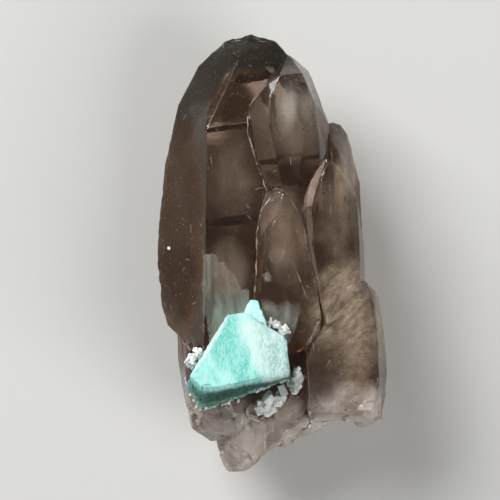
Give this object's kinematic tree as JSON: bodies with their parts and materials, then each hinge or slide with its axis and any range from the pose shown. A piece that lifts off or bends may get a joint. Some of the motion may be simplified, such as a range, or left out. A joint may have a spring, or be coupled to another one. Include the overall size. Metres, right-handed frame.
{
  "type": "smoky quartz crystal group with an amazonite crystal",
  "caption": "Smoky quartz crystals grown together, with a broken base and a blocky blue-green amazonite crystal low on the front; lies on its flat back.",
  "frame": {"origin": "under the middle of the specimen's box, on the surface that it rests on", "axes": "+Z towards the front of the specimen, which faces up as it lies; +Y towards the crystal tip; +X to the right of the front"},
  "size_m": [0.0274, 0.0518, 0.0206],
  "materials": {
    "quartz": "clear to milky smoky brown crystal, glossy faces, dull broken base",
    "amazonite": "blue-green feldspar with fine white streaks, satin, stands in for stone",
    "albite": "white translucent feldspar lumps, stands in for stone"
  },
  "bodies": {
    "root": {"smoky_quartz": "quartz", "amazonite": "amazonite", "albite_left": "albite", "albite_upper": "albite", "albite_right": "albite", "albite_lower": "albite"}
  },
  "joints": []
}
